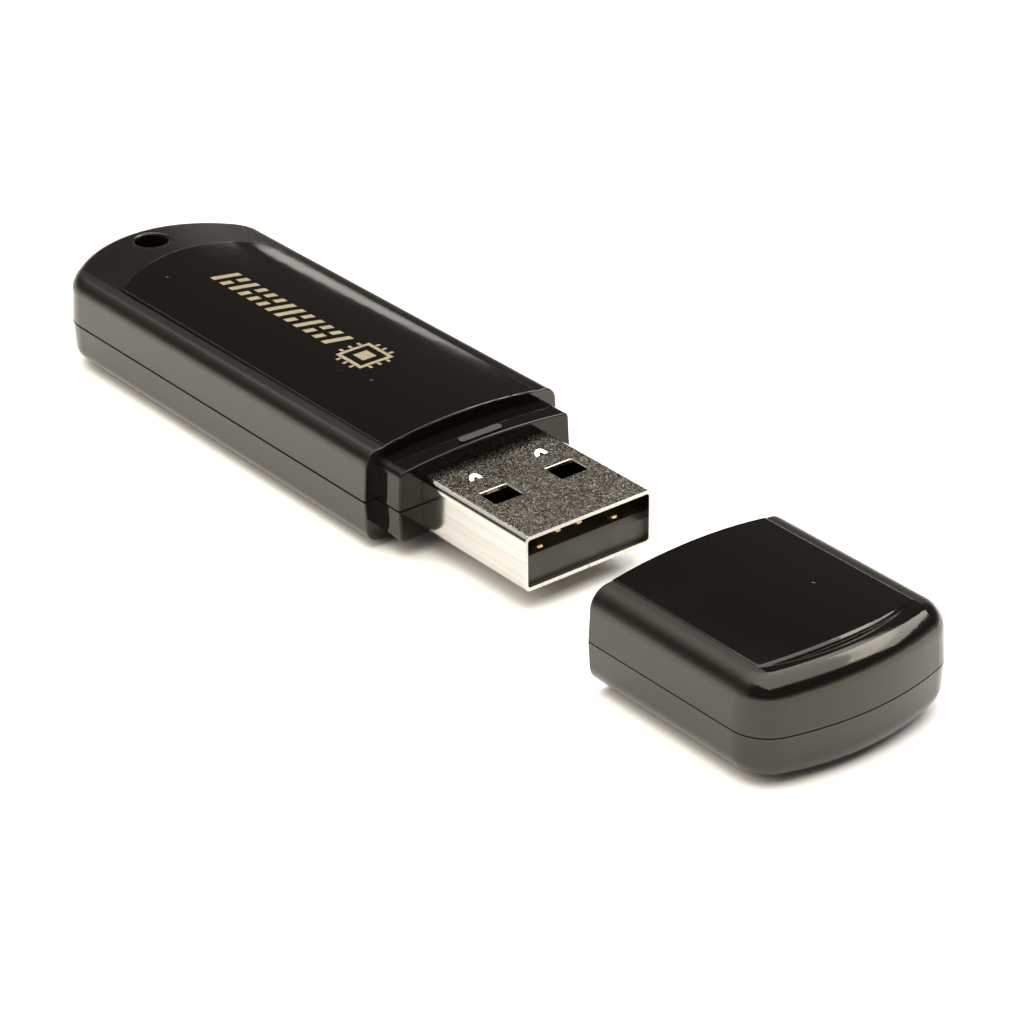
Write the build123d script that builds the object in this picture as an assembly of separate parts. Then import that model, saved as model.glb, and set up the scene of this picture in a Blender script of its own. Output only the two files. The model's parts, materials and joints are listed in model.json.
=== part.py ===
from build123d import *
import os

# USB flash drive with a pull-off cap.
# The origin is the centre of the plug's mouth. +X is the way the plug points and +Z is up.
# The cap is drawn pulled off, in line with the plug. Every size is in millimetres.

# Metal plug shell, a standard USB-A plug
PLUG_WIDTH = 12.0
PLUG_HEIGHT = 4.5
PLUG_WALL = 0.3
PLUG_CORNER = 0.55
PLUG_LENGTH = 18.75
PLUG_EXPOSED = 12.15
PLUG_SEAM_HALF_GAP = 0.03
WINDOW_FRONT = -5.4
WINDOW_LENGTH = 2.0
WINDOW_WIDTH = 2.5
WINDOW_OFFSET = 3.1
WINDOW_CORNER = 0.15
WINDOW_RIM = 0.1
BARB_X = -9.3
BARB_RADIUS = 0.55
BARB_THROAT = 0.22
BARB_HEIGHT = 0.24

# Outer form shared by the drive body and the cap
HALF_WIDTH = 9.25
DRAFT = 3.5
EDGE_RADIUS = 1.2
PANEL_HALF_WIDTH = 7.4
PANEL_CORNER = 0.7
PANEL_LIFT = 0.03
PANEL_ROOT = 1.0
SHOULDER_RISE = 0.25
MOUTH_RADIUS = 0.12
BLANK_HEIGHT = 6.0
BLANK_OVERRUN = 4.0
SPAN = 240.0
TOP_SHOULDER = 4.05
TOP_CROWN = 4.7
BOTTOM_SHOULDER = 3.65
BOTTOM_CROWN = 4.3
REST_DEPTH = 4.2
SEAM_DEPTH = 0.12
SEAM_HALF_GAP = 0.05

# Drive body
COLLAR_LENGTH = 2.85
BODY_FRONT = -(PLUG_EXPOSED + COLLAR_LENGTH)
BODY_LENGTH = 45.5
BODY_REAR = BODY_FRONT - BODY_LENGTH
BODY_END_RADIUS = 11.2
BODY_CORNER = 3.5
BODY_TILT = 0.25
PANEL_REAR = -53.3
PANEL_END_RADIUS = 12.0
PANEL_EDGE_RADIUS = 0.08
STRAP_HOLE_X = -57.3
STRAP_HOLE_RADIUS = 1.4
STRAP_RIM = 0.25
FIT_GAP = 0.02
ROOT = 0.3

# Collar that the cap pushes onto, and its retaining rib
COLLAR_HALF_WIDTH = 8.15
COLLAR_CROWN = 3.6
COLLAR_EDGE = 3.1
COLLAR_BOTTOM = 2.75
COLLAR_BOTTOM_EDGE = 2.7
COLLAR_DRAFT = 0.15
COLLAR_CORNER = 0.5
COLLAR_RIM_RADIUS = 0.15
COLLAR_OVERLAP = 1.0
RIB_X = -12.8
RIB_LENGTH = 4.0
RIB_WIDTH = 0.55
RIB_HEIGHT = 0.2
RIB_FRONT_HEIGHT = 0.08

# Cap
CAP_LENGTH = 19.0
CAP_GAP = 11.0
CAP_MOUTH = CAP_GAP
CAP_END = CAP_MOUTH + CAP_LENGTH
CAP_END_RADIUS = 24.0
CAP_CORNER = 3.2
CAP_EDGE_RADIUS = 1.7
CAP_PANEL_END = CAP_END - 2.2
CAP_PANEL_END_RADIUS = 19.5
CAP_PANEL_EDGE_RADIUS = 0.35
CAP_CLEARANCE = 0.12
CAP_WALL = 1.15
CAP_HOLLOW_CORNER = 2.2
POCKET_END = CAP_MOUTH + COLLAR_LENGTH + 0.15
HOLLOW_START = POCKET_END + 1.0
PLUG_SLOT_END = CAP_MOUTH + 15.4
RIB_CHANNEL_HALF_WIDTH = 2.2

# Inside of the body
CAVITY_FRONT = BODY_FRONT - 1.5
CAVITY_REAR = -54.0
CAVITY_HALF_WIDTH = 8.05
CAVITY_TOP = 2.9
CAVITY_BOTTOM = 2.65
CAVITY_CORNER = 2.0
CAVITY_DRAFT = 2.0

# Circuit board and its parts
BOARD_TOP = -0.6
BOARD_THICKNESS = 0.8
BOARD_BOTTOM = BOARD_TOP - BOARD_THICKNESS
BOARD_FRONT = -19.1
BOARD_REAR = -53.5
BOARD_HALF_WIDTH = 6.9
TONGUE_FRONT = -16.4
TONGUE_HALF_WIDTH = 5.3
NOTCH_INNER = 5.6
NOTCH_OUTER = 6.1

# Insulator and contacts inside the plug
INSULATOR_FRONT = -0.45
INSULATOR_REAR = -15.3
INSULATOR_TOP = 0.1
INSULATOR_CHAMFER = 0.4
INSULATOR_BACK = -12.3
CONTACT_WIDTH = 1.0
CONTACT_THICKNESS = 0.25
CONTACT_TIP = 0.12
CONTACT_TIP_WIDTH = 0.36
CONTACT_TAPER = 0.4
CONTACT_DEPTH = 0.13
CONTACT_BEND = -15.9
CONTACT_FOOT = -16.15
CONTACT_TAIL_END = -18.6
OUTER_CONTACT_Y = 3.5
INNER_CONTACT_Y = 1.0
OUTER_CONTACT_FRONT = -1.3
INNER_CONTACT_FRONT = -2.3

# Solder feet of the plug shell, and the solder on them and on the contacts
FOOT_REAR = -20.6
FOOT_FRONT = -PLUG_LENGTH + 0.2
FOOT_TOP = 0.6
FOOT_BOTTOM = -2.0
SOLDER_HEIGHT = 0.4
SOLDER_RADIUS = 0.8
FILLET_HEIGHT = 0.2

# Pins and posts that hold the shells and the board together
PIN_PLACES = [(-55.4, 6.1, 0.6), (-17.7, 7.1, 0.4)]
PIN_LENGTH = 1.4
PIN_FIT = 0.05
PIN_POST_WALL = 0.35
PIN_BOSS_WALL = 0.45
CLAMP_X = [-22.0, -49.0]
CLAMP_HALF_LENGTH = 0.7
CLAMP_INNER = 6.3
CLAMP_OUTER = 7.7

# Guide rails inside the cap
RAIL_HALF_WIDTH = 0.4
RAIL_HEIGHT = 2.4
RAIL_REACH = 6.2
TOP_RAILS_Y = [-4.4, 0.0, 4.4]
SIDE_RAILS_X = [CAP_MOUTH + 8.0, CAP_MOUTH + 12.0]

INNER_HALF_WIDTH = PLUG_WIDTH / 2 - PLUG_WALL
INNER_HALF_HEIGHT = PLUG_HEIGHT / 2 - PLUG_WALL


def slab(x_from, x_to, y_from, y_to, z_from, z_to):
    """A box between two corners."""
    middle = ((x_from + x_to) / 2, (y_from + y_to) / 2, (z_from + z_to) / 2)
    return Pos(*middle) * Box(abs(x_to - x_from), abs(y_to - y_from), abs(z_to - z_from))


def outline(mouth, apex, half_width, end_radius, corner):
    """Plan shape: square at the mouth, straight sides, and a rounded end that bulges to the apex."""
    side = 1 if apex > mouth else -1
    shoulder = apex - side * (end_radius - (end_radius**2 - half_width**2) ** 0.5)
    near = -half_width * side
    far = half_width * side
    edges = [
        Line((mouth, near), (shoulder, near)),
        ThreePointArc((shoulder, near), (apex, 0), (shoulder, far)),
        Line((shoulder, far), (mouth, far)),
        Line((mouth, far), (mouth, near)),
    ]
    face = make_face(edges)
    corners = face.vertices().filter_by(lambda v: abs(v.X - shoulder) < 1e-4)
    return fillet(corners, corner)


def crown_bar(crown, edge, half_width):
    """A long round bar along X whose top passes through the crown height and the panel's edges."""
    rise = crown - edge
    radius = (half_width**2 + rise**2) / (2 * rise)
    return Pos(0, 0, crown - radius) * Rot(0, 90, 0) * Cylinder(radius, SPAN)


def round_mouth(shape, mouth):
    """Softens the outer edges of the flat face at the mouth."""
    edges = []
    for edge in shape.edges():
        box = edge.bounding_box()
        flat = abs(box.min.X - mouth) < 1e-3 and abs(box.max.X - mouth) < 1e-3
        if flat and edge.center().Z > PANEL_ROOT + 0.1:
            edges.append(edge)
    return fillet(edges, MOUTH_RADIUS)


def outer_half(mouth, apex, end_radius, corner, panel, shoulder, crown, tilt, edge_radius):
    """Upper half of the body or the cap: drafted walls, crowned shoulders and a raised, crowned panel."""
    side = 1 if apex > mouth else -1
    start = mouth - BLANK_OVERRUN * side
    keep = slab(mouth, mouth + side * SPAN, -SPAN, SPAN, 0, SPAN)
    plan = outline(start, apex, HALF_WIDTH, end_radius, corner)
    top = Pos(mouth, 0, 0) * Rot(0, tilt, 0) * crown_bar(shoulder + SHOULDER_RISE, shoulder, PANEL_HALF_WIDTH)
    walls = extrude(plan, amount=BLANK_HEIGHT, taper=DRAFT) & top
    rim = walls.faces().sort_by(Axis.Z)[-1].edges()
    rim = rim.filter_by(lambda e: abs(e.center().X - start) > 1)
    walls = round_mouth(fillet(rim, edge_radius) & keep, mouth)

    panel_apex, panel_end_radius, panel_edge_radius = panel
    shape = outline(start, panel_apex, PANEL_HALF_WIDTH, panel_end_radius, PANEL_CORNER)
    raised = Pos(0, 0, PANEL_ROOT) * extrude(shape, amount=BLANK_HEIGHT, taper=DRAFT)
    raised = raised & crown_bar(crown, shoulder + PANEL_LIFT, PANEL_HALF_WIDTH)
    crest = raised.faces().sort_by(Axis.Z)[-1].edges()
    crest = crest.filter_by(lambda e: abs(e.center().X - start) > 1)
    raised = round_mouth(fillet(crest, panel_edge_radius) & keep, mouth)

    groove = extrude(plan, amount=SEAM_HALF_GAP) - extrude(offset(plan, -SEAM_DEPTH), amount=1)
    return walls + raised - groove


def body_half(shoulder, crown):
    """Outer form of one half of the drive body, behind the collar."""
    panel = (PANEL_REAR, PANEL_END_RADIUS, PANEL_EDGE_RADIUS)
    form = (BODY_FRONT, BODY_REAR, BODY_END_RADIUS, BODY_CORNER)
    return outer_half(*form, panel, shoulder, crown, -BODY_TILT, EDGE_RADIUS)


def cap_half(shoulder, crown):
    """Outer form of one half of the cap."""
    panel = (CAP_PANEL_END, CAP_PANEL_END_RADIUS, CAP_PANEL_EDGE_RADIUS)
    form = (CAP_MOUTH, CAP_END, CAP_END_RADIUS, CAP_CORNER)
    return outer_half(*form, panel, shoulder, crown, 0, CAP_EDGE_RADIUS)


def collar_section(half_width, edge, crown, grow):
    """Cross-section of the collar above the seam: slightly drafted sides under a crowned top."""
    foot = half_width + grow
    head = half_width - COLLAR_DRAFT + grow
    edges = [
        Line((-foot, 0), (foot, 0)),
        Line((foot, 0), (head, edge + grow)),
        ThreePointArc((head, edge + grow), (0, crown + grow), (-head, edge + grow)),
        Line((-head, edge + grow), (-foot, 0)),
    ]
    face = make_face(edges)
    corners = face.vertices().filter_by(lambda v: v.Y > 0.1)
    return Plane.YZ * fillet(corners, COLLAR_CORNER + grow)


def collar_bar(x_from, x_to, upper, grow=0.0):
    """The collar's form between two stations, above the seam or mirrored below it."""
    if upper:
        section = collar_section(COLLAR_HALF_WIDTH, COLLAR_EDGE, COLLAR_CROWN, grow)
    else:
        section = collar_section(COLLAR_HALF_WIDTH, COLLAR_BOTTOM_EDGE, COLLAR_BOTTOM, grow)
    bar = Pos(x_from, 0, 0) * extrude(section, amount=x_to - x_from)
    return bar if upper else mirror(bar, about=Plane.XY)


def plug_bar(x_from, x_to, grow):
    """A bar with the plug shell's rounded outline, made larger or smaller by grow."""
    section = RectangleRounded(PLUG_WIDTH + 2 * grow, PLUG_HEIGHT + 2 * grow, PLUG_CORNER + grow)
    return Pos(x_from, 0, 0) * extrude(Plane.YZ * section, amount=x_to - x_from)


def below_seam(shape):
    """The mirror image below the seam plane."""
    return mirror(shape, about=Plane.XY)


def both_sides(shape):
    """A feature and its twin across the centre plane."""
    return shape + mirror(shape, about=Plane.XZ)


# ---------------------------------------------------------------- drive body shells


def cavity(depth):
    """Room for the circuit board inside one shell, above the seam."""
    room = outline(CAVITY_FRONT, CAVITY_REAR, CAVITY_HALF_WIDTH, BODY_END_RADIUS, CAVITY_CORNER)
    return extrude(room, amount=depth, taper=CAVITY_DRAFT)


def inside_box(edge, box):
    """Whether an edge lies wholly inside a box."""
    inner = edge.bounding_box()
    outer = box.bounding_box()
    low = all(a >= b for a, b in zip(inner.min, outer.min))
    return low and all(a <= b for a, b in zip(inner.max, outer.max))


def strap_hole(shell):
    """The vertical strap hole with its softly rounded rim."""
    drilled = shell - Pos(STRAP_HOLE_X, 0, 0) * Cylinder(STRAP_HOLE_RADIUS, SPAN)
    reach = STRAP_HOLE_RADIUS + 0.6
    mouth = slab(STRAP_HOLE_X - reach, STRAP_HOLE_X + reach, -reach, reach, 3, SPAN)
    rim = [e for e in drilled.edges() if inside_box(e, mouth) or inside_box(e, below_seam(mouth))]
    return fillet(rim, STRAP_RIM)


def seam_groove_on_collar(upper):
    """Fine line around the collar where the two shells meet."""
    height = SEAM_HALF_GAP if upper else -SEAM_HALF_GAP
    outer = COLLAR_HALF_WIDTH + 1
    side = slab(BODY_FRONT, -PLUG_EXPOSED, COLLAR_HALF_WIDTH - SEAM_DEPTH, outer, 0, height)
    front = slab(-PLUG_EXPOSED - SEAM_DEPTH, -PLUG_EXPOSED + 1, PLUG_WIDTH / 2, outer, 0, height)
    return both_sides(side + front)


def retaining_rib():
    """The short rib across the collar's crown: a ramp that rises to the rear, with rounded ends."""
    half = RIB_WIDTH / 2
    points = [
        (half, -ROOT),
        (half, RIB_FRONT_HEIGHT),
        (-half, RIB_HEIGHT),
        (-half, -ROOT),
    ]
    ramp = extrude(Plane.XZ * make_face(Polyline(points, close=True)), amount=RIB_LENGTH, both=True)
    bar = extrude(Rot(0, 0, 90) * SlotOverall(RIB_LENGTH, RIB_WIDTH), amount=1, both=True)
    return Pos(RIB_X, 0, COLLAR_CROWN) * (ramp & bar)


def collar_half(upper):
    """The collar in front of one shell, its front rim rounded above the seam or below it."""
    collar = collar_bar(BODY_FRONT - COLLAR_OVERLAP, -PLUG_EXPOSED, upper)
    front_rim = collar.faces().sort_by(Axis.X)[-1].edges().filter_by(lambda e: abs(e.center().Z) > 0.1)
    return fillet(front_rim, COLLAR_RIM_RADIUS)


def board_clamps(z_from, z_to):
    """Four posts that pinch the board's edges between the shells."""
    posts = []
    for x in CLAMP_X:
        post = slab(x - CLAMP_HALF_LENGTH, x + CLAMP_HALF_LENGTH, CLAMP_INNER, CLAMP_OUTER, z_from, z_to)
        posts.append(both_sides(post))
    return posts


def round_posts(wall, z_from, z_to):
    """Round posts or holes on both sides at every pin place, wider than the pin by a wall."""
    posts = []
    for x, y, radius in PIN_PLACES:
        post = Pos(x, y, (z_from + z_to) / 2) * Cylinder(radius + wall, z_to - z_from)
        posts.append(both_sides(post))
    return posts


def make_upper_shell():
    """Upper shell: polished top, half of the collar, and pins that press into the lower shell."""
    shell = strap_hole(body_half(TOP_SHOULDER, TOP_CROWN)) + collar_half(True) + retaining_rib()
    shell = shell - cavity(CAVITY_TOP) - plug_bar(CAVITY_FRONT - 1, 0, FIT_GAP)
    shell = shell - seam_groove_on_collar(True)
    shell = shell + board_clamps(BOARD_TOP, CAVITY_TOP + ROOT)
    return shell + round_posts(0, -PIN_LENGTH, 1) + round_posts(PIN_POST_WALL, 0, CAVITY_TOP + ROOT)


def make_lower_shell():
    """Lower shell: a base with a flat to rest on, and sockets for the upper shell's pins."""
    shell = below_seam(body_half(BOTTOM_SHOULDER, BOTTOM_CROWN))
    shell = strap_hole(shell & slab(-SPAN, SPAN, -SPAN, SPAN, -REST_DEPTH, 0)) + collar_half(False)
    shell = shell - below_seam(cavity(CAVITY_BOTTOM)) - plug_bar(CAVITY_FRONT - 1, 0, FIT_GAP)
    shell = shell - seam_groove_on_collar(False)
    shell = shell + board_clamps(-CAVITY_BOTTOM - ROOT, BOARD_BOTTOM)
    shell = shell + round_posts(PIN_BOSS_WALL, -CAVITY_BOTTOM - ROOT, 0)
    return shell - round_posts(PIN_FIT, -PIN_LENGTH - 0.1, 0.1)


# ---------------------------------------------------------------- plug


def on_window_rim(edge):
    """Whether an edge runs round a window, on the outer face of the shell."""
    box = edge.bounding_box()
    outer = abs(abs(edge.center().Z) - PLUG_HEIGHT / 2) < 1e-3
    level = box.max.Z - box.min.Z < 1e-3
    behind_front = box.max.X < WINDOW_FRONT + 1e-3
    ahead_of_rear = box.min.X > WINDOW_FRONT - WINDOW_LENGTH - 1e-3
    return outer and level and behind_front and ahead_of_rear


def stamped_barb():
    """A half-round tab lanced out of the top face: it rises to the rear and has an open throat."""
    top = PLUG_HEIGHT / 2
    tab = Cylinder(BARB_RADIUS, 2) - Cylinder(BARB_THROAT, 3)
    points = [
        (0, -0.1),
        (0, 0),
        (-BARB_RADIUS, BARB_HEIGHT),
        (-BARB_RADIUS, -0.1),
    ]
    wedge = extrude(Plane.XZ * make_face(Polyline(points, close=True)), amount=BARB_RADIUS, both=True)
    return Pos(BARB_X, WINDOW_OFFSET, top) * (tab & wedge)


def make_plug_shell():
    """The folded metal shell: latch windows above and below, two barbs, a joint line and two solder feet."""
    shell = plug_bar(-PLUG_LENGTH, 0, 0) - plug_bar(-PLUG_LENGTH - 1, 1, -PLUG_WALL)
    window = slab(
        WINDOW_FRONT,
        WINDOW_FRONT - WINDOW_LENGTH,
        WINDOW_OFFSET - WINDOW_WIDTH / 2,
        WINDOW_OFFSET + WINDOW_WIDTH / 2,
        -PLUG_HEIGHT,
        PLUG_HEIGHT,
    )
    window = fillet(window.edges().filter_by(Axis.Z), WINDOW_CORNER)
    shell = shell - both_sides(window)
    rim = shell.edges().filter_by(on_window_rim)
    shell = fillet(rim, WINDOW_RIM) + both_sides(stamped_barb())
    gap = PLUG_SEAM_HALF_GAP
    joint_line = slab(-PLUG_LENGTH, 0, -gap, gap, -PLUG_HEIGHT, -INNER_HALF_HEIGHT + 0.1)
    foot = slab(FOOT_FRONT, FOOT_REAR, INNER_HALF_WIDTH, PLUG_WIDTH / 2, FOOT_BOTTOM, FOOT_TOP)
    return shell - joint_line + both_sides(foot)


def contact_plan(front):
    """Plan shape of a contact, narrowed to a small tip at the front."""
    half = CONTACT_WIDTH / 2
    points = [
        (front, -CONTACT_TIP_WIDTH / 2),
        (front, CONTACT_TIP_WIDTH / 2),
        (front - CONTACT_TAPER, half),
        (CONTACT_TAIL_END, half),
        (CONTACT_TAIL_END, -half),
        (front - CONTACT_TAPER, -half),
    ]
    return make_face(Polyline(points, close=True))


def contact_strip(y, front):
    """One gilt contact: a flat spring strip in the insulator, a step down, and a tail on the board."""
    low = INSULATOR_TOP - CONTACT_DEPTH
    high = low + CONTACT_THICKNESS
    tail_top = BOARD_TOP + CONTACT_THICKNESS
    points = [
        (front, low),
        (front, high - CONTACT_TIP),
        (front - CONTACT_TIP, high),
        (CONTACT_BEND, high),
        (CONTACT_FOOT, tail_top),
        (CONTACT_TAIL_END, tail_top),
        (CONTACT_TAIL_END, BOARD_TOP),
        (CONTACT_FOOT + 0.3, BOARD_TOP),
        (CONTACT_BEND + 0.3, low),
    ]
    section = Plane.XZ * make_face(Polyline(points, close=True))
    strip = Pos(0, y + CONTACT_WIDTH / 2, 0) * extrude(section, amount=CONTACT_WIDTH)
    return strip & (Pos(0, y, 0) * extrude(contact_plan(front), amount=5, both=True))


def make_plug_insulator(contacts):
    """The moulded tongue under the contacts, full height at its back, cut out around each contact."""
    half_width = INNER_HALF_WIDTH - FIT_GAP
    half_height = INNER_HALF_HEIGHT - FIT_GAP
    base = slab(INSULATOR_REAR, INSULATOR_FRONT, -half_width, half_width, -half_height, INSULATOR_TOP)
    front_top = base.edges().filter_by(Axis.Y).sort_by(lambda e: e.center().X + e.center().Z)[-1]
    base = chamfer(front_top, INSULATOR_CHAMFER)
    back = slab(INSULATOR_REAR, INSULATOR_BACK, -half_width, half_width, 0, half_height)
    block = (base + back) & plug_bar(INSULATOR_REAR, INSULATOR_FRONT, -PLUG_WALL - FIT_GAP)
    for contact in contacts:
        block = block - contact
    return block


# ---------------------------------------------------------------- circuit board and its parts


def make_circuit_board():
    """The board: a narrow tongue at the front between the plug's feet, and a slot for each foot."""
    plan = outline(BOARD_FRONT, BOARD_REAR, BOARD_HALF_WIDTH, BODY_END_RADIUS, 1.0)
    board = Pos(0, 0, BOARD_BOTTOM) * extrude(plan, amount=BOARD_THICKNESS)
    board = board + slab(
        BOARD_FRONT, TONGUE_FRONT, -TONGUE_HALF_WIDTH, TONGUE_HALF_WIDTH, BOARD_BOTTOM, BOARD_TOP
    )
    notch = slab(BOARD_FRONT + 1, FOOT_REAR - 0.1, NOTCH_INNER, NOTCH_OUTER, -3, 1)
    return board - both_sides(notch)


def on_board(shape, x, y, top_side=True):
    """Puts a part drawn on the plane z = 0 onto the top or the underside of the board."""
    if top_side:
        return Pos(x, y, BOARD_TOP) * shape
    return Pos(x, y, BOARD_BOTTOM) * mirror(shape, about=Plane.XY)


def lead(reach):
    """One gull-wing lead, pointing along +X from the package wall at x = 0."""
    points = [
        (-0.2, 0.35),
        (-0.2, 0.5),
        (0.35 * reach, 0.5),
        (0.55 * reach, 0.15),
        (reach, 0.15),
        (reach, 0),
        (0.4 * reach, 0),
        (0.25 * reach, 0.35),
    ]
    section = Plane.XZ * make_face(Polyline(points, close=True))
    return Pos(0, 0.11, 0) * extrude(section, amount=0.22)


def package(length, width, height, pins_x, pins_y, pitch, reach):
    """A chip package with leads on its X ends, its Y sides, or both."""
    body = Pos(0, 0, 0.1 + height / 2) * Box(length, width, height)
    body = chamfer(body.faces().sort_by(Axis.Z)[-1].edges(), 0.12)
    body = body - Pos(-length / 2 + 1, -width / 2 + 1, height + 0.1) * Cylinder(0.35, 0.1)
    leads = []
    for number in range(pins_x):
        along = (number - (pins_x - 1) / 2) * pitch
        leads.append(Pos(length / 2, along, 0) * lead(reach))
        leads.append(Pos(-length / 2, along, 0) * Rot(0, 0, 180) * lead(reach))
    for number in range(pins_y):
        along = (number - (pins_y - 1) / 2) * pitch
        leads.append(Pos(along, width / 2, 0) * Rot(0, 0, 90) * lead(reach))
        leads.append(Pos(along, -width / 2, 0) * Rot(0, 0, -90) * lead(reach))
    return body + leads


def chip_part(length, width, height):
    """A small two-ended surface part: a body with thicker end caps."""
    body = Pos(0, 0, height / 2) * Box(length * 0.6, width * 0.94, height * 0.9)
    end = Pos(length * 0.4, 0, height / 2) * Box(length * 0.2, width, height)
    return body + end + mirror(end, about=Plane.YZ)


def make_crystal():
    """Metal crystal can on its base flange."""
    can = Pos(0, 0, 0.5) * Box(5.0, 3.2, 0.8)
    can = fillet(can.edges().filter_by(Axis.Z), 0.5)
    base = Pos(0, 0, 0.08) * Box(5.4, 3.5, 0.16)
    return can + base


def make_activity_led():
    """A small surface LED with a clear block for a lens."""
    base = Pos(0, 0, 0.15) * Box(1.6, 0.8, 0.3)
    lens = Pos(0, 0, 0.45) * Box(1.0, 0.8, 0.4)
    return base + chamfer(lens.faces().sort_by(Axis.Z)[-1].edges(), 0.08)


def make_plug_solder_joints(plug_shell, board):
    """A cone of solder around each foot of the plug shell, on top of the board."""
    place = Pos((BOARD_FRONT + FOOT_REAR) / 2, PLUG_WIDTH / 2 - PLUG_WALL / 2, BOARD_TOP + SOLDER_HEIGHT / 2)
    cone = place * Cone(SOLDER_RADIUS, SOLDER_RADIUS / 2, SOLDER_HEIGHT)
    return both_sides(cone) - plug_shell - board


def make_contact_solder_joints(ys):
    """A fillet of solder behind the tail of each contact."""
    wedge = make_face(Polyline([(0, 0), (0, FILLET_HEIGHT), (-2 * FILLET_HEIGHT, 0)], close=True))
    section = Plane.XZ * wedge
    joints = []
    for y in ys:
        side = y + CONTACT_WIDTH / 2
        joints.append(Pos(CONTACT_TAIL_END, side, BOARD_TOP) * extrude(section, amount=CONTACT_WIDTH))
    return Compound(children=joints)


# ---------------------------------------------------------------- cap


def cap_hollow(depth):
    """The room inside one half of the cap, above the seam, less the rails that guide the plug."""
    end = CAP_END - CAP_WALL
    plan = outline(HOLLOW_START, end, HALF_WIDTH - CAP_WALL, CAP_END_RADIUS - CAP_WALL, CAP_HOLLOW_CORNER)
    hollow = extrude(plan, amount=depth, taper=CAVITY_DRAFT)
    for y in TOP_RAILS_Y:
        low, high = y - RAIL_HALF_WIDTH, y + RAIL_HALF_WIDTH
        hollow = hollow - slab(HOLLOW_START - 1, CAP_MOUTH + 15.3, low, high, RAIL_HEIGHT, BLANK_HEIGHT)
    for x in SIDE_RAILS_X:
        rail = slab(x - RAIL_HALF_WIDTH, x + RAIL_HALF_WIDTH, RAIL_REACH, 10, -1, BLANK_HEIGHT)
        hollow = hollow - both_sides(rail)
    return hollow


def make_cap_shell(upper):
    """One half of the cap: collar pocket at the mouth, then a hollow with rails that guide the plug."""
    if upper:
        shell = cap_half(TOP_SHOULDER, TOP_CROWN)
        depth = CAVITY_TOP
    else:
        shell = cap_half(BOTTOM_SHOULDER, REST_DEPTH)
        depth = CAVITY_BOTTOM
    hollow = cap_hollow(depth)
    shell = shell - hollow - plug_bar(CAP_MOUTH - 1, PLUG_SLOT_END, CAP_CLEARANCE)
    pocket = collar_bar(CAP_MOUTH - 1, POCKET_END, upper, CAP_CLEARANCE)
    if upper:
        half = RIB_CHANNEL_HALF_WIDTH
        channel = slab(CAP_MOUTH - 1, POCKET_END, -half, half, 0, COLLAR_CROWN + RIB_HEIGHT + 0.1)
        near = WINDOW_OFFSET - BARB_RADIUS - CAP_CLEARANCE
        far = WINDOW_OFFSET + BARB_RADIUS + CAP_CLEARANCE
        top = PLUG_HEIGHT / 2 + BARB_HEIGHT + CAP_CLEARANCE
        notch = slab(CAP_MOUTH, HOLLOW_START + 1, near, far, 0, top)
        return shell - pocket - channel - both_sides(notch)
    return below_seam(shell) - pocket


# ---------------------------------------------------------------- build and write the parts

contact_vbus = contact_strip(-OUTER_CONTACT_Y, OUTER_CONTACT_FRONT)
contact_data_minus = contact_strip(-INNER_CONTACT_Y, INNER_CONTACT_FRONT)
contact_data_plus = contact_strip(INNER_CONTACT_Y, INNER_CONTACT_FRONT)
contact_ground = contact_strip(OUTER_CONTACT_Y, OUTER_CONTACT_FRONT)
contacts = [contact_vbus, contact_data_minus, contact_data_plus, contact_ground]
plug_shell = make_plug_shell()
circuit_board = make_circuit_board()

capacitors = []
for x, y in [(-23.2, 5.8), (-26.4, 5.8), (-23.2, -5.8), (-26.4, -5.8), (-51.6, 1.0), (-51.6, 4.0)]:
    capacitors.append(on_board(chip_part(1.6, 0.8, 0.8), x, y))
resistors = []
for x, y in [(-27.5, -4.5), (-27.5, -3.0), (-27.5, 3.0), (-27.5, 4.5), (-51.6, -1.5), (-51.6, 3.0)]:
    resistors.append(on_board(chip_part(1.0, 0.5, 0.35), x, y, top_side=False))

parts = {
    "upper_shell": make_upper_shell(),
    "lower_shell": make_lower_shell(),
    "plug_shell": plug_shell,
    "plug_insulator": make_plug_insulator(contacts),
    "contact_vbus": contact_vbus,
    "contact_data_minus": contact_data_minus,
    "contact_data_plus": contact_data_plus,
    "contact_ground": contact_ground,
    "circuit_board": circuit_board,
    "controller_chip": on_board(package(7.0, 7.0, 1.0, 12, 12, 0.5, 1.0), -25.4, 0),
    "flash_memory_chip": on_board(package(18.4, 12.0, 1.0, 24, 0, 0.5, 0.8), -40.4, 0),
    "second_memory_chip": on_board(package(18.4, 12.0, 0.95, 24, 0, 0.5, 0.8), -40.4, 0, top_side=False),
    "crystal": on_board(make_crystal(), -24.0, 0.6, top_side=False),
    "voltage_regulator": on_board(package(2.9, 1.6, 0.9, 0, 3, 0.95, 0.55), -23.5, -4.4, top_side=False),
    "input_fuse": on_board(chip_part(3.2, 1.6, 0.6), -23.0, 4.4, top_side=False),
    "ferrite_bead": on_board(chip_part(2.0, 1.2, 0.9), -29.0, 5.6),
    "activity_led": on_board(make_activity_led(), -51.6, -3.0),
    "decoupling_capacitors": Compound(children=capacitors),
    "resistors": Compound(children=resistors),
    "plug_solder_joints": make_plug_solder_joints(plug_shell, circuit_board),
    "contact_solder_joints": make_contact_solder_joints(
        [-OUTER_CONTACT_Y, -INNER_CONTACT_Y, INNER_CONTACT_Y, OUTER_CONTACT_Y]
    ),
    "cap_upper_shell": make_cap_shell(True),
    "cap_lower_shell": make_cap_shell(False),
}

os.makedirs("parts", exist_ok=True)
for name, shape in parts.items():
    export_step(shape, f"parts/{name}.step")
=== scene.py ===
import json
import math

import bmesh
import bpy
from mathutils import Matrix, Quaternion, Vector


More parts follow.
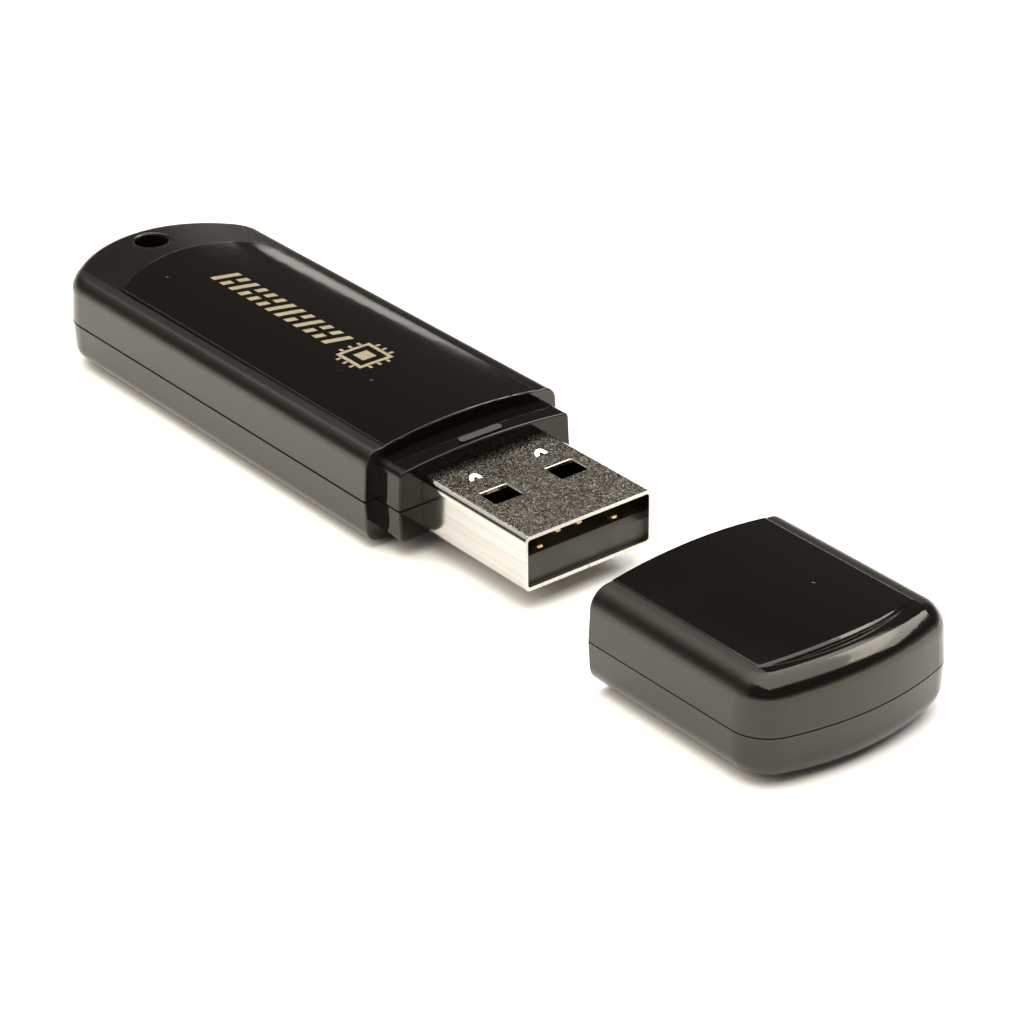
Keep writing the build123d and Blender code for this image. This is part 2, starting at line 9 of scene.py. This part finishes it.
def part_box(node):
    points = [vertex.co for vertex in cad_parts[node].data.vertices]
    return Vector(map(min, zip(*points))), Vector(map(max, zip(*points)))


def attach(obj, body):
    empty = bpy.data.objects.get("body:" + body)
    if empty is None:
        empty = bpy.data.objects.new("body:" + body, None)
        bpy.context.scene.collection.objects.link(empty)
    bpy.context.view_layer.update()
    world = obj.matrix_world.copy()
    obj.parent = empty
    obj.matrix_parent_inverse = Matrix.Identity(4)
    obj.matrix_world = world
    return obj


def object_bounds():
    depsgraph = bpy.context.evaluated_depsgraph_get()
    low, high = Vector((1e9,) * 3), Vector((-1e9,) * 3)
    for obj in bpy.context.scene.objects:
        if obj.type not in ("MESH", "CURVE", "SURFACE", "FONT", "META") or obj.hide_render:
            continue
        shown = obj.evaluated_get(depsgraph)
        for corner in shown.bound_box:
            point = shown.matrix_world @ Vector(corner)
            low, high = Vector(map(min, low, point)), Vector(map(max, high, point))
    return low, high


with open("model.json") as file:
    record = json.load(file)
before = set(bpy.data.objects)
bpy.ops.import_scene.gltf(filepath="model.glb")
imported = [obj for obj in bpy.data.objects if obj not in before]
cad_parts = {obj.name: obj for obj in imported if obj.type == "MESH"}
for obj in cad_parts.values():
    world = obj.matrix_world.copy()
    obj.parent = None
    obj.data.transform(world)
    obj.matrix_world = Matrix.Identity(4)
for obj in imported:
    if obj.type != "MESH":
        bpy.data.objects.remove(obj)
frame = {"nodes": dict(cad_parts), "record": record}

MM = 0.001
cad_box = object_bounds()
nodes = frame["nodes"]
mounts = {m["name"]: m for m in frame["record"]["mounts"]}
slot_of = {s["node"]: s["material_slot"] for s in frame["record"]["subparts"]}

plug_low, plug_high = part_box("plug_shell")
body_low, body_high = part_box("upper_shell")
cap_low, cap_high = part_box("cap_upper_shell")
rest_height = mounts["rest_face"]["pos_m"][2]
strap_x = mounts["strap_hole"]["pos_m"][0]

# Shape of the raised, crowned panel; the body's panel has a round rear end
PANEL_REAR = strap_x + 4.0 * MM
PANEL_END_RADIUS = 12.0 * MM
PANEL_HALF_WIDTH = 7.25 * MM
PANEL_DROP = 0.62 * MM
CROWN_RADIUS = (PANEL_HALF_WIDTH**2 + PANEL_DROP**2) / (2 * PANEL_DROP)

# The step where the body ends and the collar begins, and the shape of the band behind the panel
BODY_FRONT = plug_high.x - 15.0 * MM
BAND_RADIUS = 110.0 * MM
BAND_TILT = math.radians(0.25)

# Height where the walls turn into the shoulders, and where the satin finish is complete
SHOULDER_START = 2.4 * MM
SHOULDER_FULL = 3.0 * MM

# Printed mark: its chip symbol, the bars beside it and the ink's thickness
SYMBOL_FROM_STRAP = 30.0 * MM
SYMBOL_HALF_SIZE = 1.45 * MM
SYMBOL_LINE = 0.34 * MM
SYMBOL_CORE = 1.3 * MM
LEG_SPACING = 0.85 * MM
LEG_LENGTH = 0.42 * MM
LEG_WIDTH = 0.26 * MM
LEG_OFFSET = SYMBOL_HALF_SIZE + 0.45 * MM
FIRST_BAR = 3.6 * MM
BAR_SPACING = 1.28 * MM
BAR_COUNT = 13
WHOLE_BARS = (0, 3, 5, 6, 10, 12)
BAR_LENGTH = 2.3 * MM
HALF_BAR_LENGTH = 0.9 * MM
HALF_BAR_PLACE = 0.68 * MM
HALF_BAR_STEP = 0.2 * MM
BAR_WIDTH = 0.62 * MM
BAR_SLANT = 0.3
INK_LIFT = 0.008 * MM

# Studio
FLOOR_HALF_SIZE = 0.5
GLINT_Y = -8.2 * MM
PLUG_GLINT_Y = -5.8 * MM
EDGE_TILTS = (12.5, 19.0)
PLUG_EDGE_TILTS = (12.0, 46.0)
VIEW_AZIMUTH = 50.4
VIEW_ELEVATION = 29.0
VIEW_DISTANCE = 0.2566
VIEW_ROLL = math.radians(-0.6)
AIM_OFFSET = Vector((6.2, 0, -1.7)) * MM


# ---------------------------------------------------------------- node helpers


class Shader:
    """A small helper that adds nodes to one material and links them."""

    def __init__(self, name):
        self.material = bpy.data.materials.new(name)
        self.material.use_nodes = True
        self.tree = self.material.node_tree
        self.tree.nodes.clear()
        self.out = self.tree.nodes.new("ShaderNodeOutputMaterial")
        self.principled = self.tree.nodes.new("ShaderNodeBsdfPrincipled")
        self.link(self.principled.outputs[0], self.out.inputs[0])
        self.place = self.tree.nodes.new("ShaderNodeTexCoord").outputs["Object"]
        self.normal = self.tree.nodes.new("ShaderNodeTexCoord").outputs["Normal"]

    def link(self, source, target):
        self.tree.links.new(source, target)

    def feed(self, target, value):
        """Links a socket to an input, or sets the input to a plain value."""
        if isinstance(value, bpy.types.NodeSocket):
            self.link(value, target)
        else:
            target.default_value = value

    def set(self, **values):
        """Sets or links inputs of the main shader by name, with _ for a space."""
        for name, value in values.items():
            target = self.principled.inputs[name.replace("_", " ")]
            if isinstance(value, tuple) and len(value) == 3:
                value = (*value, 1.0)
            self.feed(target, value)

    def math(self, operation, first, second=0.0):
        """A sum, product or other operation on two numbers."""
        node = self.tree.nodes.new("ShaderNodeMath")
        node.operation = operation
        self.feed(node.inputs[0], first)
        self.feed(node.inputs[1], second)
        return node.outputs[0]

    def split(self, vector):
        """The x, y and z of a vector."""
        node = self.tree.nodes.new("ShaderNodeSeparateXYZ")
        self.link(vector, node.inputs[0])
        return node.outputs

    def stretched(self, scale, turn=0.0):
        """Object coordinates scaled by axis, for grain that runs one way."""
        node = self.tree.nodes.new("ShaderNodeMapping")
        node.vector_type = "TEXTURE"
        node.inputs["Rotation"].default_value = (0, 0, turn)
        node.inputs["Scale"].default_value = scale
        self.link(self.place, node.inputs[0])
        return node.outputs[0]

    def noise(self, scale, detail=2.0, vector=None):
        """Soft cloudy noise; scale is in repeats per metre."""
        node = self.tree.nodes.new("ShaderNodeTexNoise")
        node.inputs["Scale"].default_value = scale
        node.inputs["Detail"].default_value = detail
        self.link(vector or self.place, node.inputs["Vector"])
        return node.outputs[0]

    def cells(self, scale, vector=None):
        """Small irregular cells, each with a Color of its own and a Distance from its middle."""
        node = self.tree.nodes.new("ShaderNodeTexVoronoi")
        node.inputs["Scale"].default_value = scale
        self.link(vector or self.place, node.inputs["Vector"])
        return node.outputs

    def ramp(self, value, low, high, to_low=0.0, to_high=1.0):
        """Maps low..high to to_low..to_high, clamped and smooth; low may be the larger of the two."""
        node = self.tree.nodes.new("ShaderNodeMapRange")
        node.interpolation_type = "SMOOTHSTEP"
        self.link(value, node.inputs["Value"])
        node.inputs["From Min"].default_value = low
        node.inputs["From Max"].default_value = high
        node.inputs["To Min"].default_value = to_low
        node.inputs["To Max"].default_value = to_high
        return node.outputs[0]

    def mix(self, share, first, second):
        """Mixes two colours."""
        node = self.tree.nodes.new("ShaderNodeMix")
        node.data_type = "RGBA"
        self.feed(node.inputs["Factor"], share)
        colours = [s for s in node.inputs if s.type == "RGBA"]
        for target, value in zip(colours, (first, second)):
            self.feed(target, (*value, 1.0) if isinstance(value, tuple) else value)
        return [s for s in node.outputs if s.type == "RGBA"][0]

    def vector(self, operation, first, second):
        """An operation on two vectors, or on a vector and a number when it is SCALE."""
        node = self.tree.nodes.new("ShaderNodeVectorMath")
        node.operation = operation
        self.feed(node.inputs[0], first)
        self.feed(node.inputs["Scale"] if operation == "SCALE" else node.inputs[1], second)
        return node.outputs[0]

    def facets(self, random, tilt):
        """The surface normal, leaning a random way in each grain, by up to about half of tilt."""
        normal = self.tree.nodes.new("ShaderNodeNewGeometry").outputs["Normal"]
        lean = self.vector("SCALE", self.vector("SUBTRACT", random, (0.5, 0.5, 0.5)), tilt)
        return self.vector("NORMALIZE", self.vector("ADD", normal, lean), (0.0, 0.0, 0.0))

    def bump(self, height, strength, distance, normal=None):
        """The normal bent by a height pattern, on top of a bent normal if one is given."""
        node = self.tree.nodes.new("ShaderNodeBump")
        node.inputs["Strength"].default_value = strength
        node.inputs["Distance"].default_value = distance
        self.link(height, node.inputs["Height"])
        if normal is not None:
            self.link(normal, node.inputs["Normal"])
        return node.outputs[0]


# ---------------------------------------------------------------- materials


def gloss_black(name, satin, painted_shade=None):
    """Polished black moulding with satin bands, faint ripple, smudges, hairline scratches, some dust and
    painted shade where given.
    """
    s = Shader(name)
    ripple = s.noise(420.0, 2.0)
    smudge = s.ramp(s.noise(95.0, 4.0), 0.45, 0.75, 0.0, 0.04)
    hair = s.noise(1.0, 2.0, s.stretched((0.012, 0.00012, 0.004), math.radians(28)))
    scratch = s.ramp(hair, 0.74, 0.80)
    speck = s.ramp(s.cells(900.0, s.stretched((2.2, 1.0, 1.0), 0.6))["Distance"], 0.085, 0.05)
    rare = s.ramp(s.noise(230.0, 0.0), 0.70, 0.72)
    dust = s.math("MULTIPLY", speck, rare)
    rough = s.math("ADD", s.math("ADD", smudge, 0.05), s.math("MULTIPLY", scratch, 0.12))
    rough = s.math("ADD", rough, s.math("MULTIPLY", dust, 0.3))
    zone = satin(s)
    rough = s.math("ADD", rough, s.math("MULTIPLY", zone, 0.29))
    grain = s.math("MULTIPLY", s.noise(6500.0, 2.0), zone)
    normal = s.bump(grain, 0.35, 0.000012)
    normal = s.bump(ripple, 0.02, 0.0002, normal)
    normal = s.bump(scratch, 0.05, 0.00001, normal)
    colour = s.mix(dust, (0.0038, 0.0031, 0.0026), (0.10, 0.095, 0.085))
    s.set(Base_Color=colour, Roughness=rough, IOR=1.54, Normal=normal)
    s.set(Specular_Tint=(1.0, 0.95, 0.84))
    if painted_shade:
        # Painted shade: the polish is dimmed where the shade mask is 1.
        s.set(Specular_IOR_Level=s.math("SUBTRACT", 0.5, s.math("MULTIPLY", painted_shade(s), 0.42)))
    return s.material


def body_painted_shade(s):
    """Painted shade: 1 on the edges of the joint between the two shells as a dark line in the seam, less on
    the collar the cap slides over.
    """
    x, y, z = s.split(s.place)
    joint = s.ramp(s.math("ABSOLUTE", z), 0.13 * MM, 0.08 * MM)
    collar = s.ramp(x, BODY_FRONT + 0.1 * MM, BODY_FRONT + 0.3 * MM, 0.0, 0.5)
    return s.math("MAXIMUM", joint, collar)


def on_shoulder(s, z):
    """1 above the walls, where the shoulders turn in."""
    return s.ramp(z, SHOULDER_START, SHOULDER_FULL)


def beside_panel(s, y, inset=0.0):
    """1 on the shoulder bands either side of the raised panel."""
    edge = PANEL_HALF_WIDTH - inset
    return s.ramp(s.math("ABSOLUTE", y), edge, edge + 0.15 * MM)


def body_satin(s):
    """1 on the shoulder at the near side of the panel, less at its far side and behind it, else 0."""
    x, y, z = s.split(s.place)
    along = s.math("MINIMUM", s.math("SUBTRACT", x, PANEL_REAR + PANEL_END_RADIUS), 0.0)
    from_centre = s.math("SQRT", s.math("ADD", s.math("POWER", along, 2.0), s.math("POWER", y, 2.0)))
    behind = s.ramp(from_centre, PANEL_END_RADIUS, PANEL_END_RADIUS + 0.1 * MM, 0.0, 0.6)
    beside = s.math("MULTIPLY", beside_panel(s, y), s.ramp(y, 0, 1 * MM, 1.0, 0.4))
    return s.math("MULTIPLY", s.math("MAXIMUM", behind, beside), on_shoulder(s, z))


def cap_satin(s):
    """1 on the cap's long shoulders, less on its closed end, 0 on its panel and walls."""
    x, y, z = s.split(s.place)
    before_end = s.ramp(x, cap_high.x - 2.6 * MM, cap_high.x - 3.4 * MM)
    shoulders = s.math("MULTIPLY", beside_panel(s, y, 0.25 * MM), before_end)
    end = s.ramp(x, cap_high.x - 2.2 * MM, cap_high.x - 1.8 * MM, 0.0, 0.22)
    return s.math("MULTIPLY", s.math("MAXIMUM", shoulders, end), on_shoulder(s, z))


def nickel(name):
    """Nickel plating: blasted, faintly glittering outer flats coloured dark as painted shade, and smooth
    bright sides.
    """
    s = Shader(name)
    facing = s.math("ABSOLUTE", s.split(s.normal)[2])
    outer = s.ramp(s.math("ABSOLUTE", s.split(s.place)[2]), -0.93 * plug_low.z, -0.96 * plug_low.z)
    flat = s.math("MULTIPLY", s.ramp(facing, 0.93, 0.98), outer)
    grain = s.cells(10500.0)["Color"]
    shade = s.split(grain)[2]
    patch = s.noise(420.0, 3.0)
    # Painted shade: the outer flats get a darker grey than the nickel of the sides.
    grey = s.mix(s.ramp(patch, 0.3, 0.7), (0.27, 0.245, 0.205), (0.325, 0.30, 0.255))
    wipe = s.noise(1.0, 3.0, s.stretched((0.02, 0.0003, 0.0003)))
    side = s.mix(s.ramp(wipe, 0.40, 0.70), (0.575, 0.558, 0.528), (0.48, 0.465, 0.438))
    colour = s.mix(flat, side, grey)
    frosted = s.ramp(shade, 0.2, 1.0, 0.02, 0.20)
    rough = s.math("ADD", s.math("MULTIPLY", frosted, flat), s.ramp(wipe, 0.5, 0.8, 0.14, 0.19))
    lean = s.math("MULTIPLY", flat, 0.24)
    ripple = s.bump(s.noise(9500.0, 2.0), 0.04, 0.000006, s.facets(grain, lean))
    s.set(Base_Color=colour, Metallic=1.0, Roughness=rough, Normal=ripple)
    return s.material


def satin_plastic(name, colour, rough=0.42):
    """Fine-textured moulded plastic or epoxy."""
    s = Shader(name)
    grain = s.noise(9000.0, 2.0)
    cloud = s.noise(600.0, 3.0)
    lighter = tuple(min(1.0, c * 1.5 + 0.004) for c in colour)
    s.set(
        Base_Color=s.mix(s.ramp(cloud, 0.3, 0.75), colour, lighter),
        Roughness=s.math("ADD", s.math("MULTIPLY", grain, 0.16), rough),
        Normal=s.bump(grain, 0.12, 0.00002),
        Specular_Tint=(1.0, 0.95, 0.87),
    )
    return s.material


def plated(name, colour, rough=0.2):
    """Plated or soldered metal with faint rolling marks."""
    s = Shader(name)
    lines = s.noise(1.0, 2.0, s.stretched((0.004, 0.00006, 0.0003)))
    cloud = s.noise(900.0, 3.0)
    darker = tuple(c * 0.72 for c in colour)
    s.set(
        Base_Color=s.mix(s.ramp(cloud, 0.35, 0.7), colour, darker),
        Metallic=1.0,
        Roughness=s.math("ADD", s.math("MULTIPLY", lines, 0.15), rough),
        Normal=s.bump(lines, 0.1, 0.00002),
    )
    return s.material


def pale_print(name):
    """Pale gold pad print: slightly uneven ink."""
    s = Shader(name)
    ink = s.noise(2600.0, 3.0)
    colour = s.mix(s.ramp(ink, 0.3, 0.7), (0.28, 0.235, 0.148), (0.33, 0.285, 0.195))
    s.set(
        Base_Color=colour,
        Metallic=0.35,
        Roughness=s.math("ADD", s.math("MULTIPLY", ink, 0.2), 0.38),
        Normal=s.bump(ink, 0.15, 0.00001),
    )
    return s.material


def board_green(name):
    """Solder mask over faint copper tracks."""
    s = Shader(name)
    cell = s.cells(900.0)
    track = s.ramp(cell["Distance"], 0.30, 0.34)
    s.set(
        Base_Color=s.mix(track, (0.012, 0.10, 0.045), (0.02, 0.16, 0.07)),
        Roughness=s.math("ADD", s.math("MULTIPLY", s.noise(3000.0), 0.1), 0.28),
        Normal=s.bump(track, 0.2, 0.00002),
    )
    return s.material


materials = {
    "body_plastic": gloss_black("body_gloss_black", body_satin, body_painted_shade),
    "cap_plastic": gloss_black("cap_gloss_black", cap_satin),
    "plug_metal": nickel("nickel_plate"),
    "insulator_plastic": satin_plastic("insulator_black", (0.019, 0.0175, 0.014), 0.34),
    "contact_gilt": plated("gilt_contact", (0.90, 0.70, 0.34), 0.16),
    "board_laminate": board_green("board_green"),
    "chip_epoxy": satin_plastic("chip_epoxy", (0.018, 0.018, 0.02), 0.5),
    "crystal_can": plated("crystal_can", (0.72, 0.71, 0.68), 0.3),
    "fuse_ceramic": satin_plastic("fuse_ceramic", (0.16, 0.24, 0.15), 0.35),
    "ferrite": satin_plastic("ferrite_grey", (0.06, 0.06, 0.06), 0.5),
    "led_lens": satin_plastic("led_resin", (0.72, 0.68, 0.52), 0.18),
    "capacitor_ceramic": satin_plastic("capacitor_tan", (0.34, 0.22, 0.12), 0.4),
    "resistor_film": satin_plastic("resistor_film", (0.02, 0.02, 0.024), 0.3),
    "solder": plated("solder", (0.78, 0.77, 0.74), 0.22),
    "print_gold": pale_print("gold_print"),
}

for name, node in nodes.items():
    node.data.materials.clear()
    node.data.materials.append(materials[slot_of[name]])


# ---------------------------------------------------------------- printed mark


def printed_mark():
    """A generic printed strip on the panel: a chip symbol, then a row of slanted bars of two lengths."""
    mesh = bmesh.new()
    surface = nodes["upper_shell"]
    start = body_high.z + 10 * MM

    def height(x, y):
        """Height of the ink over a point of the panel."""
        hit, place, _, _ = surface.ray_cast(Vector((x, y, start)), Vector((0, 0, -1)))
        return (place.z if hit else body_high.z) + INK_LIFT

    def plate(corners):
        """A thin printed quadrilateral laid over the panel, cut into a grid that follows the crown."""
        steps = 6
        rows = []
        for i in range(steps + 1):
            u = i / steps
            left = corners[0].lerp(corners[1], u)
            right = corners[3].lerp(corners[2], u)
            row = []
            for j in range(steps + 1):
                p = left.lerp(right, j / steps)
                row.append(mesh.verts.new((p.x, p.y, height(p.x, p.y))))
            rows.append(row)
        for i in range(steps):
            for j in range(steps):
                mesh.faces.new((rows[i][j], rows[i + 1][j], rows[i + 1][j + 1], rows[i][j + 1]))

    def bar(x, y, length, width, slant=0.0):
        """One bar, length across the drive, width along it."""
        half = length / 2
        plate(
            [
                Vector((x - width / 2 - slant * half, y - half)),
                Vector((x + width / 2 - slant * half, y - half)),
                Vector((x + width / 2 + slant * half, y + half)),
                Vector((x - width / 2 + slant * half, y + half)),
            ]
        )

    centre = strap_x + SYMBOL_FROM_STRAP
    size = SYMBOL_HALF_SIZE
    for side in (-1, 1):
        bar(centre + side * size, 0, 2 * size + SYMBOL_LINE, SYMBOL_LINE)
        bar(centre, side * size, SYMBOL_LINE, 2 * size - SYMBOL_LINE)
        for k in (-1, 0, 1):
            bar(centre + k * LEG_SPACING, side * LEG_OFFSET, LEG_LENGTH, LEG_WIDTH)
            bar(centre + side * LEG_OFFSET, k * LEG_SPACING, LEG_WIDTH, LEG_LENGTH)
    bar(centre, 0, SYMBOL_CORE, SYMBOL_CORE)

    for index in range(BAR_COUNT):
        x = centre - FIRST_BAR - index * BAR_SPACING
        if index in WHOLE_BARS:
            bar(x, 0, BAR_LENGTH, BAR_WIDTH, BAR_SLANT)
        else:
            for side in (-1, 1):
                place = x + side * HALF_BAR_STEP
                bar(place, side * HALF_BAR_PLACE, HALF_BAR_LENGTH, BAR_WIDTH, BAR_SLANT)

    data = bpy.data.meshes.new("printed_mark")
    mesh.to_mesh(data)
    mesh.free()
    piece = bpy.data.objects.new("printed_mark", data)
    bpy.context.scene.collection.objects.link(piece)
    data.materials.append(materials["print_gold"])
    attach(piece, "drive")


printed_mark()


# ---------------------------------------------------------------- floor, light and camera


def floor():
    """A plain pale floor under the drive."""
    size = FLOOR_HALF_SIZE
    data = bpy.data.meshes.new("floor")
    corners = [(-size, -size, rest_height), (size, -size, rest_height)]
    corners += [(size, size, rest_height), (-size, size, rest_height)]
    data.from_pydata(corners, [], [(0, 1, 2, 3)])
    plane = bpy.data.objects.new("floor", data)
    bpy.context.scene.collection.objects.link(plane)
    s = Shader("pale_floor")
    cloud = s.noise(6.0, 2.0)
    s.set(
        Base_Color=s.mix(cloud, (0.90, 0.90, 0.89), (0.93, 0.93, 0.92)),
        Roughness=0.75,
        Specular_IOR_Level=0.1,
    )
    data.materials.append(s.material)


def softbox(name, place, target, width, height, power, colour=(1.0, 0.97, 0.92)):
    """A rectangular area light aimed at a point."""
    lamp = bpy.data.lights.new(name, "AREA")
    lamp.shape = "RECTANGLE"
    lamp.size = width
    lamp.size_y = height
    lamp.energy = power
    lamp.color = colour
    light = bpy.data.objects.new(name, lamp)
    light.location = place
    light.rotation_mode = "QUATERNION"
    light.rotation_quaternion = (Vector(target) - Vector(place)).to_track_quat("-Z", "Y")
    bpy.context.scene.collection.objects.link(light)
    return light


def direction(azimuth, elevation):
    """Unit vector from the object towards a camera or lamp; azimuth 0 looks along +Y, 90 along -X."""
    a, e = math.radians(azimuth), math.radians(elevation)
    return Vector((math.sin(a) * math.cos(e), -math.cos(a) * math.cos(e), math.sin(e)))


def mirrored(point, normal):
    """The direction in which the camera's ray leaves a polished point."""
    return (point - camera.location).normalized().reflect(normal.normalized())


def crown_point(x, y):
    """A point on the crowned panel of the body, and its normal."""
    sag = CROWN_RADIUS - math.sqrt(CROWN_RADIUS**2 - y**2)
    return Vector((x, y, body_high.z - sag)), Vector((0, y, CROWN_RADIUS - sag))


def reflected_lamp(name, outline, distance, radiance, colour):
    """A lamp panel cut so that it fills the given outline, as the camera sees it in the polish.

    The outline is a list of points on the object, each with its normal."""
    place = sum((point for point, _ in outline), Vector()) / len(outline)
    normal = sum((n.normalized() for _, n in outline), Vector())
    aim = mirrored(place, normal)
    centre = place + aim * distance
    corners = []
    for point, normal in outline:
        ray = mirrored(point, normal)
        corners.append(tuple(point + ray * ((centre - point).dot(aim) / ray.dot(aim))))
    panel = lamp_panel(name, corners, radiance, colour)
    panel.visible_camera = False
    panel.visible_shadow = False


def panel_streak():
    """A long streak along the panel's far edge, rounded at the rear, narrowing to a point at the front."""
    rear, tip = PANEL_REAR + 3.2 * MM, BODY_FRONT - 5.0 * MM
    far_edge, widest = 6.4 * MM, 1.25 * MM
    rounded_share = 0.035
    steps = 40
    outline = []
    for side in (1, -1):
        for k in range(steps + 1):
            t = k / steps if side == 1 else 1 - k / steps
            width = widest * (1 - t) ** 0.7
            rounded = math.sqrt(1 - (1 - min(t / rounded_share, 1.0)) ** 2)
            y = far_edge - width / 2 * (1 - side * rounded)
            outline.append(crown_point(rear + t * (tip - rear), y))
    reflected_lamp("streak", outline, 0.5, 2.0, (1.0, 0.98, 0.90))


def near_edge_glint(name, x_from, x_to, y, tilts, radiance):
    """A light line along a near top edge, where the surface turns down from one tilt to another."""
    steps = 12
    outline = []
    for x, first, last in ((x_from, tilts[0], tilts[1]), (x_to, tilts[1], tilts[0])):
        for k in range(steps + 1):
            t = math.radians(first + (last - first) * k / steps)
            outline.append((Vector((x, y, plug_high.z)), Vector((0, -math.sin(t), math.cos(t)))))
    reflected_lamp(name, outline, 0.6, radiance, (1.0, 0.97, 0.92))


def rear_band_sheen():
    """A lamp that lightens the far half of the satin band, which slopes down a little to the rear."""
    corners = ((-8.2, 3.5), (-3.0, 3.5), (-2.5, 6.0), (-2.2, 9.5), (-4.2, 9.5), (-7.4, 6.0))
    slope = BAND_RADIUS * math.sin(BAND_TILT)
    outline = []
    for x, y in corners:
        place = Vector((PANEL_REAR + x * MM, y * MM, body_high.z))
        outline.append((place, Vector((-slope, y * MM, BAND_RADIUS))))
    reflected_lamp("rear_band_sheen", outline, 0.5, 5.0, (1.0, 0.96, 0.88))


def lamp_panel(name, points, radiance, colour):
    """A glowing flat panel, part of the studio."""
    mesh = bpy.data.meshes.new(name)
    mesh.from_pydata(points, [], [tuple(range(len(points)))])
    panel = bpy.data.objects.new(name, mesh)
    bpy.context.scene.collection.objects.link(panel)
    material = bpy.data.materials.new(name)
    material.use_nodes = True
    tree = material.node_tree
    tree.nodes.clear()
    emission = tree.nodes.new("ShaderNodeEmission")
    emission.inputs["Color"].default_value = (*colour, 1)
    emission.inputs["Strength"].default_value = radiance
    output = tree.nodes.new("ShaderNodeOutputMaterial")
    tree.links.new(emission.outputs[0], output.inputs["Surface"])
    mesh.materials.append(material)
    return panel


def studio_world():
    """A dark studio with a bright sweep low on the horizon."""
    world = bpy.data.worlds.new("studio")
    world.use_nodes = True
    tree = world.node_tree
    background = tree.nodes["Background"]
    place = tree.nodes.new("ShaderNodeTexCoord")
    split = tree.nodes.new("ShaderNodeSeparateXYZ")
    ramp = tree.nodes.new("ShaderNodeValToRGB")
    tree.links.new(place.outputs["Generated"], split.inputs[0])
    tree.links.new(split.outputs[2], ramp.inputs[0])
    tree.links.new(ramp.outputs[0], background.inputs[0])
    stops = ramp.color_ramp.elements
    stops[0].position, stops[0].color = 0.02, (0.95, 0.93, 0.88, 1)
    stops[1].position, stops[1].color = 1.0, (0.10, 0.09, 0.08, 1)
    for position, level in ((0.09, 0.55), (0.20, 0.085), (0.60, 0.06)):
        stop = stops.new(position)
        stop.color = (level, level * 0.95, level * 0.88, 1)
    bpy.context.scene.world = world


def studio_lights(middle):
    """An overhead softbox, a warm fill that is never seen in the polish, and a strip behind."""
    softbox("overhead", middle + Vector((0, 0.10, 0.70)), middle, 1.10, 1.10, 10.0)
    place = middle + Vector((-0.10, -0.50, 0.75))
    fill = softbox("fill", place, middle, 1.2, 1.2, 13.0, (1.0, 0.93, 0.81))
    fill.visible_glossy = False
    beside = middle + Vector((0.12, 0, 0))
    softbox("rear_strip", beside + Vector((0, 0.62, 0.62)), beside, 0.80, 0.36, 4.0)


def add_camera(middle):
    """The scene's camera, a long lens aimed near the middle of the drive and its cap."""
    lens = bpy.data.cameras.new("camera")
    lens.sensor_width = 36.0
    lens.lens = 124.0
    lens.clip_start = 0.01
    lens.clip_end = 20.0
    view = bpy.data.objects.new("camera", lens)
    bpy.context.scene.collection.objects.link(view)
    mouth = Vector((plug_high.x, 0, 0))
    view.location = mouth + direction(VIEW_AZIMUTH, VIEW_ELEVATION) * VIEW_DISTANCE
    facing = (middle + AIM_OFFSET - view.location).to_track_quat("-Z", "Y")
    view.rotation_mode = "QUATERNION"
    view.rotation_quaternion = facing @ Quaternion((0, 0, 1), VIEW_ROLL)
    bpy.context.scene.camera = view
    return view


floor()
studio_world()
middle = (cad_box[0] + cad_box[1]) / 2
studio_lights(middle)
camera = add_camera(middle)
bpy.context.scene.view_settings.view_transform = "Standard"

panel_streak()
rear_band_sheen()
near_edge_glint("body_glint", body_low.x, BODY_FRONT, GLINT_Y, EDGE_TILTS, 3.0)
near_edge_glint("plug_glint", BODY_FRONT + 2 * MM, plug_high.x, PLUG_GLINT_Y, PLUG_EDGE_TILTS, 1.8)
near_edge_glint("cap_glint", cap_low.x, cap_high.x, GLINT_Y, EDGE_TILTS, 0.9)
